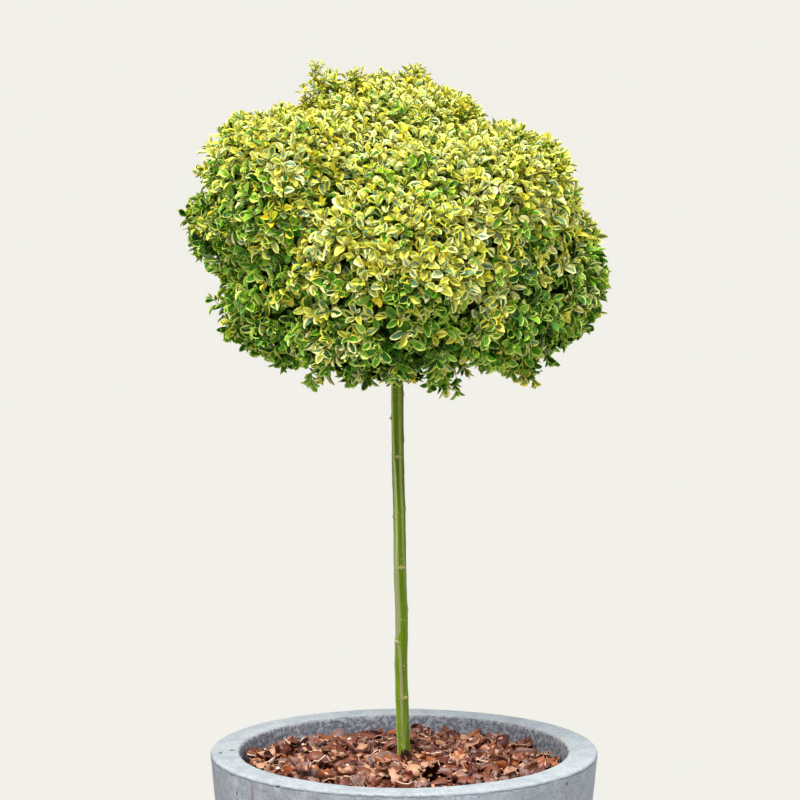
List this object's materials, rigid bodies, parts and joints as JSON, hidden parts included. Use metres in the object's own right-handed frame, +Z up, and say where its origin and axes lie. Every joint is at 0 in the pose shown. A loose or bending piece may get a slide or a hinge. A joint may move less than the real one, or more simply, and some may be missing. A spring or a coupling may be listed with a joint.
{
  "type": "variegated evergreen spindle standard in a concrete planter",
  "caption": "Lollipop standard: a dense round head of yellow-edged green leaves on a slim bare green stem, growing in a thick-walled round grey concrete pot mulched with nut husks.",
  "frame": {"origin": "centre of the pot's flat underside", "axes": "+Z up along the stem, +X to the right seen from the plant's front, -Y its front"},
  "size_m": [0.52, 0.502, 1.246],
  "materials": {
    "concrete": "rough grey concrete, bluish-white on the rim",
    "compost": "dark moist compost",
    "husks": "dry reddish-brown nut husks",
    "green_bark": "smooth green bark with a corky brown streak",
    "brown_bark": "olive-brown twig bark",
    "leaves": "glossy green leaves with yellow and cream edges"
  },
  "bodies": {
    "root": {"pot": "concrete", "compost": "compost", "mulch": "husks", "stem": "green_bark", "foliage_top": "leaves", "foliage_shoulder_front_left": "leaves", "foliage_shoulder_front_right": "leaves", "foliage_shoulder_back_right": "leaves", "foliage_shoulder_back_left": "leaves", "foliage_waist_left": "leaves", "foliage_waist_right": "leaves", "foliage_waist_front": "leaves", "foliage_waist_back": "leaves", "foliage_skirt_left": "leaves", "foliage_skirt_front": "leaves", "foliage_skirt_right": "leaves", "foliage_skirt_back_right": "leaves", "foliage_skirt_back_left": "leaves", "bough_top": "brown_bark", "bough_shoulder_front_left": "brown_bark", "bough_shoulder_front_right": "brown_bark", "bough_shoulder_back_right": "brown_bark", "bough_shoulder_back_left": "brown_bark", "bough_waist_left": "brown_bark", "bough_waist_right": "brown_bark", "bough_waist_front": "brown_bark", "bough_waist_back": "brown_bark", "bough_skirt_left": "brown_bark", "bough_skirt_front": "brown_bark", "bough_skirt_right": "brown_bark", "bough_skirt_back_right": "brown_bark", "bough_skirt_back_left": "brown_bark"}
  },
  "joints": []
}
